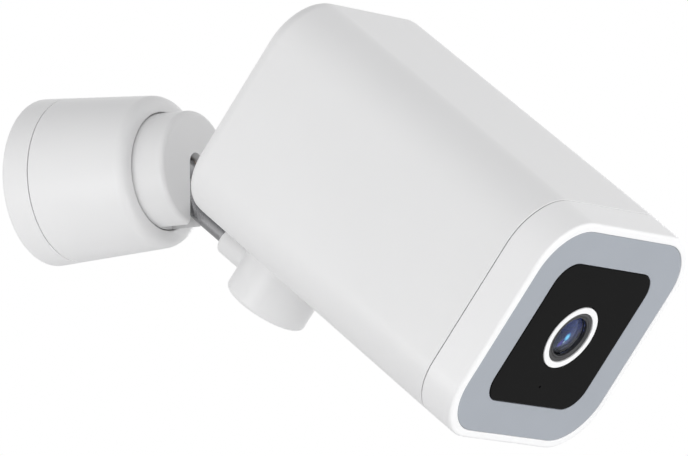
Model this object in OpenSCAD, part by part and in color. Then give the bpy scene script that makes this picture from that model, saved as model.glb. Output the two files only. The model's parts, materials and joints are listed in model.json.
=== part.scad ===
// Floodlight security camera on a jointed wall arm.
// Frame: origin at the centre of the wall plate's back face, which is the plane Y = 0.
// The camera stands out from the wall along -Y, and +Z is up. Millimetres.

/* [Wall base] */
// Diameter of the base where it meets the wall
base_back_d = 46.2; // [42:0.2:60]
// Diameter of the base at its outer end
base_front_d = 41.6; // [40.4:0.2:52]
// Length of the base from the wall to its outer end
base_len = 38.8; // [36:0.2:60]
// Depth of the wall plate's skirt, up to the seam
plate_depth = 8.2; // [7:0.2:11]
// Wall thickness of the base
base_wall = 2.2; // [1.6:0.1:2.6]
// Thickness of the wall plate's floor
plate_floor = 3; // [2.4:0.2:4]
// Distance between the two wall screw holes
wall_hole_spacing = 30; // [26:1:32]
// Diameter of the wall screw holes
wall_hole_d = 4.4; // [3:0.2:5]
// Diameter of the cable bore in the grommet
cable_d = 6; // [4:0.5:8]

/* [Neck] */
// Diameter of the neck drum
neck_d = 31.8; // [29.4:0.2:33.4]
// How far the neck stands out of the base
neck_out = 10; // [9.6:0.2:16]
// Diameter of the journal that turns in the base
journal_d = 24; // [20:0.5:25]
// Room on each side of the arm's knuckle in the neck's slot
slot_side = 0.6; // [0.5:0.1:1]
// Depth of the tilt pin behind the neck's front face
pivot_inset = 5.3; // [5:0.1:6]
// Diameter of the tilt pin
pin_d = 3; // [2:0.1:3.6]

/* [Arm] */
// Angle of the arm below horizontal as it is drawn
tilt_rest = 38.7; // [20:0.1:50]
// Outside diameter of the arm tube
tube_d = 4.2; // [3.8:0.1:5.2]
// Bore of the arm tube
tube_bore = 2.8; // [2.4:0.1:3]
// Distance of the tube's centreline below the tilt pin
tube_drop = 6; // [5.6:0.1:7]
// Angle between the tube's short leg and its long one
leg_angle = 31.3; // [28:0.1:36]
// Radius of the bend between them
bend_r = 14; // [10:0.5:16]
// Distance from the tilt pin to the pan axis, along the tube
hub_reach = 46.1; // [42:0.1:60]

/* [Pan hub] */
// Diameter of the hub under the head
hub_d = 24; // [23:0.2:30]
// Distance from the head's underside to the hub's lower face
hub_h = 15.2; // [14.2:0.1:20]
// Diameter of the collar that holds the tube
collar_d = 8.4; // [7.8:0.1:10]
// Diameter of the hollow pan stud
stud_d = 10; // [8:0.2:10.6]

/* [Head] */
// Width of the head
head_w = 70; // [66:0.5:90]
// Height of the head
head_h = 68; // [65:0.5:90]
// Length of the head
head_len = 109.4; // [104:0.2:150]
// Radius of the head's four long corners
corner_r = 15.4; // [12:0.1:17]
// Wall thickness of the head
shell_wall = 2.5; // [2:0.1:3]
// Rounding of the rear edge
rear_round = 4.5; // [3:0.1:8]
// How much each side of the head draws in from the seam to the rear
side_draft = 1.8; // [0:0.1:2]
// How much its top and underside draw in
top_draft = 0.4; // [0:0.1:0.6]
// Depth of the front bezel, up to the seam
bezel_depth = 11.2; // [10.8:0.1:14]
// Width of the bezel's white rim round the light
rim_w = 2.4; // [1.8:0.1:3.4]
// Height of the head's underside above the tilt pin
underside_rise = 1.3; // [1:0.1:4]
// Distance from the head's rear face to the pan axis
hub_back = 23.7; // [20:0.1:32]

/* [Front panel and lens] */
// Width of the black camera panel
panel_w = 44.6; // [42:0.2:47]
// Height of the black camera panel
panel_h = 43.4; // [41:0.2:46]
// Corner radius of the camera panel
panel_r = 6.7; // [4:0.1:9]
// Outside diameter of the white lens ring
ring_d = 19.4; // [18:0.1:21]
// Inside diameter of the white lens ring
ring_bore = 15.5; // [14.4:0.1:16]
// Diameter of the front lens
glass_d = 12; // [10:0.1:13]
// Distance of the microphone hole below the lens
mic_drop = 15.8; // [14.5:0.1:17]
// Number of flood LEDs along each side of the light ring
leds_per_side = 6; // [4:1:7]

/* [Service hatch] */
// Diameter of the setup button
button_d = 6.6; // [5:0.2:8]
// Travel of the setup button
button_travel = 0.7; // [0.4:0.1:0.8]
// Width of the memory card cover
cover_w = 17; // [15:0.5:18]

/* [Hidden] */
$fn = 64;

// Clearances
seam = 0.25;        // visible seam between two casings
turn_gap = 0.3;     // between casings that turn past each other
run_gap = 0.05;     // radial clearance of a journal in its bore
fit_gap = 0.1;      // around a piece that is fitted in place
lap = 0.6;          // how far fused pieces sink into each other
past = 1;           // how far a cut runs past the face it opens

// Wall base, measured out from the wall
base_front_wall = 5.8;
neck_recess = 1.8;                                  // the drum's seat in the base's outer end
wall_inner = base_len - base_front_wall;            // inner face of the base's end wall
neck_front = base_len + neck_out;
neck_back = base_len - neck_recess + turn_gap;
neck_round = 1.5;
base_round = 3;
base_draft = 0.6;
washer_t = 1;
retainer_t = 3;
journal_end = wall_inner - washer_t - 2 * fit_gap;
retainer_d = journal_d + 3.6;
retainer_back = journal_end - retainer_t;
retainer_screw_r = journal_d / 2 - 3.4;             // circle of its three screws
retainer_screw_len = 4.4;                           // into the journal
wire_bore = 4;                                      // wire way through the journal
o_ring_seat = 1.2;                                  // from the inner face to the O-ring groove
o_ring_groove = 1.7;
o_ring_t = 1.32;
spigot_len = 3.2;                                   // the shell's spigot in the plate's skirt
board_t = 1.6;
power_board_z = plate_depth + 4.2;
post_d = 4;
post_ring = retainer_d / 2 + turn_gap + post_d / 2;
screw_d = 2;
spigot_wall = 1.7;
spigot_r = base_radius(plate_depth) - base_wall - fit_gap;   // outside of the shell's spigot
base_bore_r = spigot_r - spigot_wall;
power_board_d = 2 * base_bore_r - 1;
power_post_depth = 6.5;                             // screw hole in each post
power_screw_len = 5.6;
grommet_flange = 2;
grommet_d = cable_d + 8;
grommet_neck_d = cable_d + 3.8;
grommet_seat = 1;                                   // depth of its outer flange's seat
gasket_d = base_back_d - 4;
gasket_w = 2;
gasket_t = 1;
lock_screw_d = 2.8;
lock_screw_angle = 35;
lock_screw_socket = 1.4;
terminal_w = 15;
terminal_y = 12.2;
terminal_pitch = 5;

// Tilt joint
pivot_out = neck_front - pivot_inset;
knuckle_d = 8;
knuckle_wall = 0.3;                                 // of the tube's socket, on each side
knuckle_w = tube_d + 2 * knuckle_wall;
slot_w = knuckle_w + 2 * slot_side;
slot_floor = neck_back + 1.3;
slot_top = 1.3;                                     // centre of the slot's round upper end
pin_fit = 0.02;                                     // radial, pressed
pin_blind = 10;                                     // blind end of the pin, on the left
pin_plug_d = 4.9;
pin_plug_len = 2.7;
pin_end = neck_d / 2 - 3.3;
knuckle_washer_t = slot_side - 0.14;

// Arm, in its own frame: origin on the tilt pin, +Z along the tube, +Y towards the head
leg_len = tube_drop / sin(leg_angle);
bend_cut = bend_r * tan(leg_angle / 2);
tube_lap = 0.5;                                     // the straight parts run into the bend by this
bend_swell = 0.08;                                  // a bent tube is a little fatter in its bend
bend_end = tube_drop / tan(leg_angle) + bend_cut;
hub_top = underside_rise - turn_gap;
hub_bottom = underside_rise - hub_h;
hub_lid = 2;
hub_roof = 3;
hub_wall = 3;
nut_h = 4.6;
nut_top = hub_top - hub_roof - washer_t - 2 * fit_gap;
hub_in_r = hub_d / 2 - hub_wall;
collar_len = 9.2;                                   // visible length of the collar
collar_start = hub_reach - hub_d / 2 - collar_len;
hub_round = 1.2;
cap_ledge = 1.3;                                    // width of the ledge that the hub's cap lies on
grub_d = 2.5;
grub_socket = 1.3;
pan_ring_r = 8.5;                                   // centreline of the O-ring under the head
pan_ring_t = 1.6;
pan_ring_w = 1.8;                                   // half of it on each side of the centreline
tube_end = hub_reach - hub_in_r;
lead_gap = 0.3;                                     // between the lead and the tube's bore

// Head, in its own frame: origin at the centre of the front face, +Z out of the lens
head_rise = underside_rise + head_h / 2;
face_reach = hub_reach - hub_back + head_len;
hub_z = -(head_len - hub_back);
floor_y = -head_h / 2 + shell_wall;                 // inner face of the underside
in_w = head_w - 2 * shell_wall;
in_h = head_h - 2 * shell_wall;
in_r = corner_r - shell_wall;
shell_front = -bezel_depth - seam;
light_w = head_w - 2 * rim_w;
light_h = head_h - 2 * rim_w;
light_r = corner_r - rim_w + 1;
front_t = 3;                                        // thickness of the diffuser and the panel
ledge_w = 2.1;
opening_w = light_w - 2 * ledge_w;
opening_h = light_h - 2 * ledge_w;
opening_r = light_r - ledge_w;
panel_gap = 0.15;
frame_wall = 1.2;
light_board_z = -bezel_depth - 1.4;                 // front face of the light board is 1.6 further out
sink_z = light_board_z - fit_gap;                   // front face of the heat sink
sink_t = 3;
boss_d = 5.4;
boss_len = 30;
edge_band = 0.2;                                    // untapered band at the seam
rear_step = rear_round / 2;
in_rear = shell_wall - head_len;                    // inner face of the rear wall
boss_x = in_w / 2 - in_r + (in_r - 1.9) * cos(45);
boss_y = in_h / 2 - in_r + (in_r - 1.9) * cos(45);
boss_top = sink_z - sink_t;
barrel_d = ring_bore - 0.3;
barrel_back = -18;
holder_w = 16;
camera_board_z = -24;
camera_screw = 12.4;
infrared_z = -9.6;
infrared_t = 1;
stud_flange_d = 19;
stud_flange_t = 2;
stud_wall = 2.2;
stud_screw_r = stud_flange_d / 2 - 2.2;
speaker_d = 26;
speaker_h = 8;
speaker_z = hub_z + stud_flange_d / 2 + speaker_d / 2 + 8;
hatch_z = sink_z - sink_t - 13;
cover_d = 9.6;
cover_t = 1.1;
card_w = 12;                                        // memory card slot
card_t = 1.6;
button_x = cover_w / 2 + button_d / 2 + 3;
button_proud = 0.3;
speaker_hole_d = 1.5;
speaker_hole_pitch = 3.4;
sink_screw_len = 7;
sink_head_h = 1.4;                                  // depth of the seat of a heat sink screw
fin_pitch = 6.4;
fin_t = 1.8;
fin_len = 16;
pillar_d = 4.6;                                     // posts for the camera board
led_size = 3;
led_h = 0.8;
led_spread = 1.7;                                   // share of the opening's half width that a row spans
camera_board_size = 30;
infrared_led_d = 5;
infrared_dome_r = 2.6;
mic_hole_d = 0.9;
seal_lip = 1.1;                                     // the bezel's lip inside the shell
main_board_y = 3;
main_board_len = head_len - 50;
board_inset = 3;                                    // from the rear wall to the main board
rail_t = 1.4;
rail_w = 2.2 + side_draft;

function base_radius(z) = base_back_d / 2 - (base_back_d - base_front_d) / 2 * z / base_len;
function arc_points(cx, cy, r, from, to, n = 8) =
    [for (i = [0:n]) let (a = from + (to - from) * i / n) [cx + r * cos(a), cy + r * sin(a)]];

// Frames
module in_base() rotate([90, 0, 0]) children();
module in_arm() translate([0, -pivot_out, 0]) rotate([90 + tilt_rest, 0, 0]) children();
// Here +Z is up the pan axis, and the tube comes in from +Y.
module on_pan_axis() in_arm() translate([0, 0, hub_reach]) rotate([-90, 0, 0]) children();
module in_head() in_arm() translate([0, head_rise, face_reach]) children();

// Shapes that repeat
module rounded_rect(w, h, r) {
    square([w - 2 * r, h], center = true);
    square([w, h - 2 * r], center = true);
    for (x = [-1, 1], y = [-1, 1]) translate([x * (w / 2 - r), y * (h / 2 - r)]) circle(r);
}
module slab(w, h, r, back, front) {
    translate([0, 0, back]) linear_extrude(front - back) rounded_rect(w, h, r);
}
module frame_slab(w, h, r, hole_w, hole_h, hole_r, back, front) {
    difference() {
        slab(w, h, r, back, front);
        slab(hole_w, hole_h, hole_r, back - past, front + past);
    }
}
module disc(d, back, front) translate([0, 0, back]) cylinder(d = d, h = front - back);
module washer(d, bore, back, front) {
    difference() {
        disc(d, back, front);
        disc(bore, back - past, front + past);
    }
}
module block(w, h, back, front) {
    translate([-w / 2, -h / 2, back]) cube([w, h, front - back]);
}
module screw(d, length, head_d, head_h, tip) {
    difference() {
        union() {
            disc(d, tip, tip + length + lap);
            disc(head_d, tip + length, tip + length + head_h);
        }
        for (a = [0, 90]) rotate(a)
            block(head_d * 0.6, 0.5, tip + length + head_h * 0.5, tip + length + head_h + past);
    }
}
module around(count, r, start = 0) {
    for (i = [0:count - 1]) rotate(start + i * 360 / count) translate([r, 0, 0]) children();
}
module lengthwise_x(from, to) translate([from, 0, 0]) rotate([0, 90, 0]) children();

// Wall base
module mounting_plate() color("whitesmoke") in_base() difference() {
    rotate_extrude() polygon(concat(
        [[0, 0]],
        arc_points(base_back_d / 2 - 0.8, 0.8, 0.8, -90, 0, 4),
        [[base_radius(plate_depth), plate_depth], [base_radius(plate_depth) - base_wall, plate_depth],
         [base_radius(plate_depth) - base_wall, plate_floor], [0, plate_floor]]));
    disc(grommet_neck_d + 2 * fit_gap, -past, plate_floor + past);
    disc(grommet_d + 3 * fit_gap, -past, grommet_seat + fit_gap);
    for (x = [-1, 1]) translate([x * wall_hole_spacing / 2, 0, 0]) disc(wall_hole_d, -past, plate_floor + past);
    washer(gasket_d, gasket_d - 2 * gasket_w, -past, gasket_t);
    lock_screw_holes();
}
module wall_gasket() color("dimgray") in_base()
    washer(gasket_d - 2 * fit_gap, gasket_d - 2 * gasket_w + 2 * fit_gap, 0, gasket_t - fit_gap);
module cable_grommet() color("darkslategray") in_base() difference() {
    union() {
        disc(grommet_d, 0, grommet_seat);
        disc(grommet_neck_d, 0, plate_floor + grommet_flange);
        disc(grommet_d, plate_floor + fit_gap, plate_floor + grommet_flange);
    }
    disc(cable_d, -past, plate_floor + grommet_flange + past);
}
// Two lock screws run in along the radius, above and below the right-hand side, and pin the shell to the plate.
module lock_screw_places() {
    for (a = [-1, 1]) rotate(a * lock_screw_angle)
        translate([base_radius(0) - base_wall, 0, plate_depth - spigot_len / 2]) rotate([0, 90, 0]) children();
}
module lock_screw_holes() lock_screw_places() disc(lock_screw_d + fit_gap, -2 * base_wall, 2 * base_wall);
module base_shell() color("whitesmoke") in_base() difference() {
    union() {
        rotate_extrude() polygon(concat(
            [[spigot_r, plate_depth - spigot_len], [spigot_r, plate_depth + seam],
             [base_radius(plate_depth + seam), plate_depth + seam]],
            arc_points(base_front_d / 2 - base_round, base_len - base_round, base_round, 0, 90),
            [[neck_d / 2 + turn_gap, base_len], [neck_d / 2 + turn_gap, base_len - neck_recess],
             [journal_d / 2 + run_gap, base_len - neck_recess], [journal_d / 2 + run_gap, wall_inner],
             [base_bore_r - base_draft, wall_inner],
             [base_bore_r, plate_depth], [base_bore_r, plate_depth - spigot_len]]));
        around(3, post_ring, 30) disc(post_d, power_board_z + board_t, wall_inner + lap);
    }
    around(3, post_ring, 30) disc(screw_d, power_board_z, power_board_z + board_t + power_post_depth);
    lock_screw_holes();
}
module base_lock_screws() color("silver") in_base() lock_screw_places() difference() {
    disc(lock_screw_d, -1.4, base_wall - 0.4);
    disc(lock_screw_socket, 0.6, base_wall + past, $fn = 6);
}
module power_board() color("darkgreen") in_base() difference() {
    disc(power_board_d, power_board_z, power_board_z + board_t);
    around(3, post_ring, 30) disc(screw_d + 3 * fit_gap, power_board_z - past, power_board_z + board_t + past);
}
module power_transformer() color("goldenrod") in_base() translate([-5, 0, 0]) {
    block(8, 12, power_board_z + board_t, retainer_back - 1);
    block(12, 10, power_board_z + board_t + 2, retainer_back - 3);
}
module power_capacitors() color("midnightblue") in_base()
    for (y = [-5, 5]) translate([6.6, y, 0]) disc(7, power_board_z + board_t, retainer_back - 1.6);
module terminal_block() color("seagreen") in_base() translate([0, terminal_y, 0]) difference() {
    block(terminal_w, 6.4, plate_floor + grommet_flange + 0.4, power_board_z);
    for (i = [-1:1]) translate([i * terminal_pitch, 0, 0])
        block(3, 3.4, plate_floor, plate_floor + grommet_flange + 4);
}
module power_board_screws() color("silver") in_base() around(3, post_ring, 30)
    rotate([180, 0, 0]) screw(screw_d - fit_gap, power_screw_len + board_t, 3.6, 1.4,
        -power_board_z - board_t - power_screw_len);

// Neck, which turns about the base's axis
module neck_drum() color("whitesmoke") in_base() difference() {
    rotate_extrude() polygon(concat(
        [[0, journal_end], [journal_d / 2, journal_end], [journal_d / 2, neck_back],
         [neck_d / 2, neck_back]],
        arc_points(neck_d / 2 - neck_round, neck_front - neck_round, neck_round, 0, 90),
        [[0, neck_front]]));
    translate([0, -neck_d / 2 - 1 + neck_d / 4, 0])
        block(slot_w, neck_d / 2 + 2, slot_floor, neck_front + 1);
    translate([0, slot_top / 2, 0]) block(slot_w, slot_top, pivot_out, neck_front + 1);
    translate([0, slot_top, 0]) disc(slot_w, pivot_out, neck_front + 1);
    translate([0, 0, pivot_out]) {
        lengthwise_x(-slot_w / 2, 0) cylinder(d = knuckle_d + 0.8, h = slot_w);
        lengthwise_x(-pin_blind - fit_gap, 0) cylinder(d = pin_d + 2 * pin_fit, h = pin_blind + neck_d);
        lengthwise_x(pin_end + fit_gap, 0) cylinder(d = pin_plug_d + fit_gap, h = neck_d);
    }
    disc(wire_bore, journal_end - past, slot_floor + past);
    washer(journal_d + 2, journal_d - 2 * (o_ring_t + 0.08), wall_inner + o_ring_seat,
        wall_inner + o_ring_seat + o_ring_groove);
    around(3, retainer_screw_r, 30)
        disc(screw_d, journal_end - past, journal_end + retainer_screw_len + 2 * fit_gap);
}
module neck_retainer() color("dimgray") in_base() difference() {
    disc(retainer_d, retainer_back, journal_end);
    disc(wire_bore + 1, retainer_back - past, journal_end + past);
    around(3, retainer_screw_r, 30) disc(screw_d + 3 * fit_gap, retainer_back - past, journal_end + past);
}
module neck_retainer_screws() color("silver") in_base() around(3, retainer_screw_r, 30) rotate([180, 0, 0])
    screw(screw_d - fit_gap, retainer_t + retainer_screw_len, 3.6, 0.9, -journal_end - retainer_screw_len);
module neck_friction_washer() color("lightsteelblue") in_base()
    washer(retainer_d - 0.4, journal_d + 0.6, journal_end + fit_gap, wall_inner - fit_gap);
module neck_o_ring() color("black") in_base() translate([0, 0, wall_inner + o_ring_seat + o_ring_groove / 2])
    rotate_extrude() translate([journal_d / 2 - o_ring_t / 2 - 0.06, 0]) circle(d = o_ring_t);
module tilt_pin() color("silver") in_base() translate([0, 0, pivot_out])
    lengthwise_x(-pin_blind, 0) cylinder(d = pin_d, h = pin_blind + pin_end);
module tilt_pin_plug() color("whitesmoke") in_base() translate([0, 0, pivot_out])
    lengthwise_x(pin_end + 2 * fit_gap, 0) cylinder(d = pin_plug_d, h = pin_plug_len);

// Arm, which tilts on the pin
module tube_route(d) {
    rotate([leg_angle, 0, 0]) disc(d, knuckle_d / 2 - 1, leg_len - bend_cut + tube_lap);
    translate([0, -tube_drop + bend_r, bend_end]) rotate([0, 90, 0]) rotate(270)
        rotate_extrude(angle = leg_angle) translate([bend_r, 0]) circle(d = d + bend_swell);
    translate([0, -tube_drop, 0]) disc(d, bend_end - tube_lap, tube_end);
}
module arm_knuckle() color("darkgray") in_arm() difference() {
    union() {
        lengthwise_x(-knuckle_w / 2, 0) cylinder(d = knuckle_d, h = knuckle_w);
        rotate([leg_angle, 0, 0]) disc(tube_d + knuckle_wall, 0, knuckle_d / 2 + 1.2);
    }
    lengthwise_x(-slot_w, 0) cylinder(d = pin_d + 2 * run_gap, h = 2 * slot_w);
    rotate([leg_angle, 0, 0]) disc(tube_d, knuckle_d / 2 - 1, knuckle_d);
}
module knuckle_washers() color("gold") in_arm() for (s = [-1, 1])
    lengthwise_x(s * (knuckle_w + slot_w) / 4 - knuckle_washer_t / 2, 0) difference() {
        cylinder(d = knuckle_d - lap, h = knuckle_washer_t);
        translate([0, 0, -past]) cylinder(d = pin_d + 2 * run_gap, h = knuckle_washer_t + 2 * past);
    }
module arm_tube() color("darkgray") in_arm() difference() {
    tube_route(tube_d);
    tube_route(tube_bore);
}
module arm_lead() color("dimgray") in_arm() tube_route(tube_bore - 2 * lead_gap);
module hub_collar_place() translate([0, 0, -tube_drop]) rotate([-90, 0, 0]) children();
module grub_screw_place() translate([0, (hub_d + collar_len) / 2, -tube_drop]) children();
module pan_hub() color("whitesmoke") on_pan_axis() difference() {
    union() {
        rotate_extrude() polygon(concat(
            [[0, hub_top]],
            [[hub_d / 2, hub_top]],
            arc_points(hub_d / 2 - hub_round, hub_bottom + hub_round, hub_round, 0, -90),
            [[0, hub_bottom]]));
        hub_collar_place() disc(collar_d, hub_in_r, hub_reach - collar_start);
    }
    disc(2 * hub_in_r, hub_bottom + hub_lid, hub_top - hub_roof);
    disc(2 * (hub_in_r + cap_ledge), hub_bottom - past, hub_bottom + hub_lid);
    disc(stud_d + 2 * run_gap, hub_bottom, hub_top + past);
    hub_collar_place() disc(tube_d, hub_in_r - past, hub_reach);
    grub_screw_place() disc(grub_d + fit_gap, -collar_d / 2 - past, 0);
    washer(2 * (pan_ring_r + pan_ring_w / 2), 2 * (pan_ring_r - pan_ring_w / 2), hub_top - pan_ring_t + fit_gap,
        hub_top + past);
}
module hub_cap() color("whitesmoke") on_pan_axis()
    disc(2 * (hub_in_r + cap_ledge - fit_gap), hub_bottom, hub_bottom + hub_lid - fit_gap);
module hub_grub_screw() color("silver") on_pan_axis() grub_screw_place() difference() {
    disc(grub_d, -collar_d / 2 + 0.3, -tube_d / 2);
    disc(grub_socket, -collar_d / 2 - past, -collar_d / 2 + grub_d / 2, $fn = 6);
}
module pan_o_ring() color("black") on_pan_axis() translate([0, 0, hub_top + turn_gap / 2 - pan_ring_t / 2])
    rotate_extrude() translate([pan_ring_r, 0]) circle(d = pan_ring_t);

// Head, which pans on the hub
module stud_screw_places() around(3, stud_screw_r, 30) children();
module pan_stud() color("silver") on_pan_axis() difference() {
    union() {
        disc(stud_d, hub_bottom + hub_lid + 2, underside_rise + shell_wall + stud_flange_t);
        disc(stud_flange_d, underside_rise + shell_wall, underside_rise + shell_wall + stud_flange_t);
    }
    disc(stud_d - 2 * stud_wall, hub_bottom, underside_rise + shell_wall + stud_flange_t + past);
    stud_screw_places()
        disc(screw_d + 3 * fit_gap, underside_rise, underside_rise + shell_wall + stud_flange_t + past);
}
module pan_nut() color("silver") on_pan_axis() difference() {
    disc(2 * hub_in_r - 1.6, nut_top - nut_h, nut_top, $fn = 6);
    disc(stud_d, hub_bottom, hub_top);
}
module pan_friction_washer() color("lightsteelblue") on_pan_axis()
    washer(2 * hub_in_r - 1.6, stud_d + 2 * run_gap, nut_top + fit_gap, nut_top + fit_gap + washer_t);
module pan_stud_screws() color("silver") on_pan_axis() stud_screw_places()
    screw(screw_d - fit_gap, stud_flange_t + shell_wall - lap, 3.4, 1.2, underside_rise + lap);

// Corner posts at the four corners of a w by h rounded rectangle with corner radius r
module at_corners(w, h, r) {
    for (x = [-1, 1], y = [-1, 1]) translate([x * (w / 2 - r), y * (h / 2 - r), 0]) children();
}
module head_outside() hull() {
    at_corners(head_w, head_h, corner_r) disc(2 * corner_r, shell_front - edge_band, shell_front);
    at_corners(head_w - 2 * side_draft, head_h - 2 * top_draft, corner_r) rotate_extrude()
        polygon(concat([[0, -head_len], [corner_r - rear_round, -head_len]],
            arc_points(corner_r - rear_round, rear_round - head_len, rear_round, -90, 0),
            [[0, rear_round - head_len]]));
}
module head_inside() hull() {
    at_corners(in_w, in_h, in_r) disc(2 * in_r, shell_front - edge_band, 0);
    at_corners(in_w - 2 * side_draft, in_h, in_r) rotate_extrude()
        polygon([[0, in_rear], [in_r - rear_step, in_rear], [in_r, in_rear + rear_step],
            [0, in_rear + rear_step]]);
}
module head_shell() color("whitesmoke") in_head() difference() {
    union() {
        difference() {
            head_outside();
            head_inside();
        }
        for (x = [-1, 1], y = [-1, 1]) translate([x * boss_x, y * boss_y, 0])
            disc(boss_d, boss_top - boss_len, boss_top);
        for (x = [-1, 1], y = [-rail_t / 2 - fit_gap, board_t + rail_t / 2 + fit_gap])
            translate([x * (in_w / 2 - rail_w / 2), main_board_y + y, 0])
                block(rail_w, rail_t, in_rear + board_inset - 1, in_rear + board_inset + main_board_len);
        translate([0, -head_h / 2, hub_z]) rotate([-90, 0, 0]) disc(hub_d, 0, shell_wall);
        translate([0, floor_y, hatch_z]) rotate([-90, 0, 0]) block(cover_w + 3, cover_d + 3, -lap / 2, 1);
    }
    for (x = [-1, 1], y = [-1, 1]) translate([x * boss_x, y * boss_y, 0])
        disc(screw_d, boss_top - sink_screw_len - 1, boss_top + past);
    translate([0, -head_h / 2, hub_z]) rotate([-90, 0, 0]) {
        disc(stud_d + 2 * run_gap, -past, shell_wall + past);
        stud_screw_places() disc(screw_d, lap - 2 * fit_gap, shell_wall + past);
    }
    translate([0, -head_h / 2, speaker_z]) rotate([-90, 0, 0]) {
        speaker_hole();
        for (ring = [1, 2]) around(6 * ring, ring * speaker_hole_pitch) speaker_hole();
    }
    translate([0, -head_h / 2, hatch_z]) rotate([-90, 0, 0]) {
        block(cover_w + 4 * fit_gap, cover_d + 4 * fit_gap, -past, cover_t + fit_gap);
        block(card_w + 1, card_t + 1, 0, shell_wall + 2 * past);
        translate([button_x, 0, 0]) disc(button_d + 2 * turn_gap, -past, shell_wall + 2 * past);
    }
}
module speaker_hole() disc(speaker_hole_d, -past, shell_wall + past);
module front_bezel() color("white") in_head() difference() {
    union() {
        slab(head_w, head_h, corner_r, -bezel_depth, 0);
        slab(in_w - 2 * fit_gap, in_h - 2 * fit_gap, in_r - fit_gap, -bezel_depth - seal_lip, -bezel_depth + 1);
    }
    slab(light_w, light_h, light_r, -front_t - fit_gap, past);
    slab(opening_w, opening_h, opening_r, -bezel_depth - 2 * past, past);
    slab(in_w - 2 * frame_wall, in_h - 2 * frame_wall, in_r - frame_wall, -bezel_depth - 2 * past,
        -front_t - fit_gap - 1.8);
}
module bezel_seal() color("dimgray") in_head()
    frame_slab(head_w - 1.6, head_h - 1.6, corner_r - 0.8, in_w, in_h, in_r,
        -bezel_depth - seam + 0.03, -bezel_depth - 0.02);
module diffuser() color("lightsteelblue") in_head()
    frame_slab(light_w - fit_gap, light_h - fit_gap, light_r, panel_w + 2 * panel_gap, panel_h + 2 * panel_gap,
        panel_r + panel_gap, -front_t, -fit_gap);
function led_x() = (opening_w / 2 + panel_w / 2) / 2 + 0.2;
function led_y() = (opening_h / 2 + panel_h / 2) / 2 + 0.2;
module led_places() {
    for (i = [0:leds_per_side - 1], s = [-1, 1]) let (t = (i + 0.5) / leds_per_side - 0.5) {
        translate([t * led_spread * led_x(), s * led_y(), 0]) children();
        translate([s * led_x(), t * led_spread * led_y(), 0]) children();
    }
}
module light_reflector() color("white") in_head() difference() {
    slab(opening_w - 0.6, opening_h - 0.6, opening_r - 0.3,
        light_board_z + board_t + fit_gap, -front_t - fit_gap);
    difference() {
        slab(opening_w - 2.6, opening_h - 2.6, opening_r - 1.3, light_board_z + board_t + 1.1, 0);
        slab(panel_w + 5, panel_h + 5, panel_r + 2.5, light_board_z, 1);
    }
    slab(panel_w + 2.6, panel_h + 2.6, panel_r + 1.3, light_board_z, 1);
    led_places() block(led_size + lap, led_size + lap, light_board_z, -front_t);
}
module light_board() color("white") in_head()
    frame_slab(opening_w - 0.6, opening_h - 0.6, opening_r - 0.3, panel_w - 6, panel_h - 6, 4,
        light_board_z, light_board_z + board_t);
module flood_leds() color("khaki") in_head()
    led_places() block(led_size, led_size, light_board_z + board_t, light_board_z + board_t + led_h);
module front_panel() color([0.1, 0.1, 0.11]) in_head() difference() {
    slab(panel_w, panel_h, panel_r, -front_t, 0);
    disc(ring_d + 2 * fit_gap, -front_t - past, past);
    translate([0, -mic_drop, 0]) disc(mic_hole_d, -front_t - past, past);
}
module panel_frame() color("black") in_head()
    frame_slab(panel_w + 1, panel_h + 1, panel_r + 0.5, panel_w - 2 * frame_wall, panel_h - 2 * frame_wall,
        panel_r - frame_wall, light_board_z + board_t + fit_gap, -front_t - fit_gap);
module lens_ring() color("white") in_head()
    rotate_extrude() polygon([[ring_bore / 2, -front_t], [ring_d / 2, -front_t], [ring_d / 2, 0.1],
        [ring_d / 2 - 0.2, 0.25], [ring_bore / 2 + 0.2, 0.25], [ring_bore / 2, 0.1]]);
module lens_barrel() color([0.15, 0.15, 0.16]) in_head()
    rotate_extrude() polygon([[4, barrel_back], [6, barrel_back], [6, barrel_back + 9],
        [barrel_d / 2, barrel_back + 9], [barrel_d / 2, -0.1], [barrel_d / 2 - 0.25, 0],
        [glass_d / 2 + 0.1, -0.9], [glass_d / 2 + 0.1, -4.2], [4.6, -4.2], [4, -6]]);
module lens_front_glass() color([0.1, 0.14, 0.4]) in_head() intersection() {
    disc(glass_d, -4.1, 1);
    translate([0, 0, -0.15 - glass_d * 0.82]) sphere(r = glass_d * 0.82);
}
module lens_rear_glass() color([0.25, 0.2, 0.5]) in_head() intersection() {
    disc(7.8, -9.5, -6.3);
    translate([0, 0, -12.3]) sphere(r = 6);
}
module lens_holder() color([0.15, 0.15, 0.16]) in_head() difference() {
    block(holder_w, holder_w, camera_board_z + board_t, barrel_back + 8.9);
    disc(12 + 2 * run_gap, barrel_back - 1, 0);
    block(9, 9, camera_board_z, barrel_back);
}
module image_sensor() color("slategray") in_head()
    block(8, 7, camera_board_z + board_t, camera_board_z + board_t + 1);
module camera_board() color("darkgreen") in_head() difference() {
    block(camera_board_size, camera_board_size, camera_board_z, camera_board_z + board_t);
    for (x = [-1, 1], y = [-1, 1]) translate([x * camera_screw, y * camera_screw, 0])
        disc(2.3, camera_board_z - 1, 0);
}
module camera_board_screws() color("silver") in_head()
    for (x = [-1, 1], y = [-1, 1]) translate([x * camera_screw, y * camera_screw, 0]) rotate([180, 0, 0])
        screw(screw_d - fit_gap, 6, 3.4, 1, -camera_board_z - 6);
module infrared_board() color("darkgreen") in_head() difference() {
    slab(panel_w - 2 * frame_wall - 0.4, panel_h - 2 * frame_wall - 0.4, panel_r - frame_wall - 0.2,
        infrared_z, infrared_z + infrared_t);
    disc(holder_w * 1.42 + 1, infrared_z - 1, 0);
}
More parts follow.
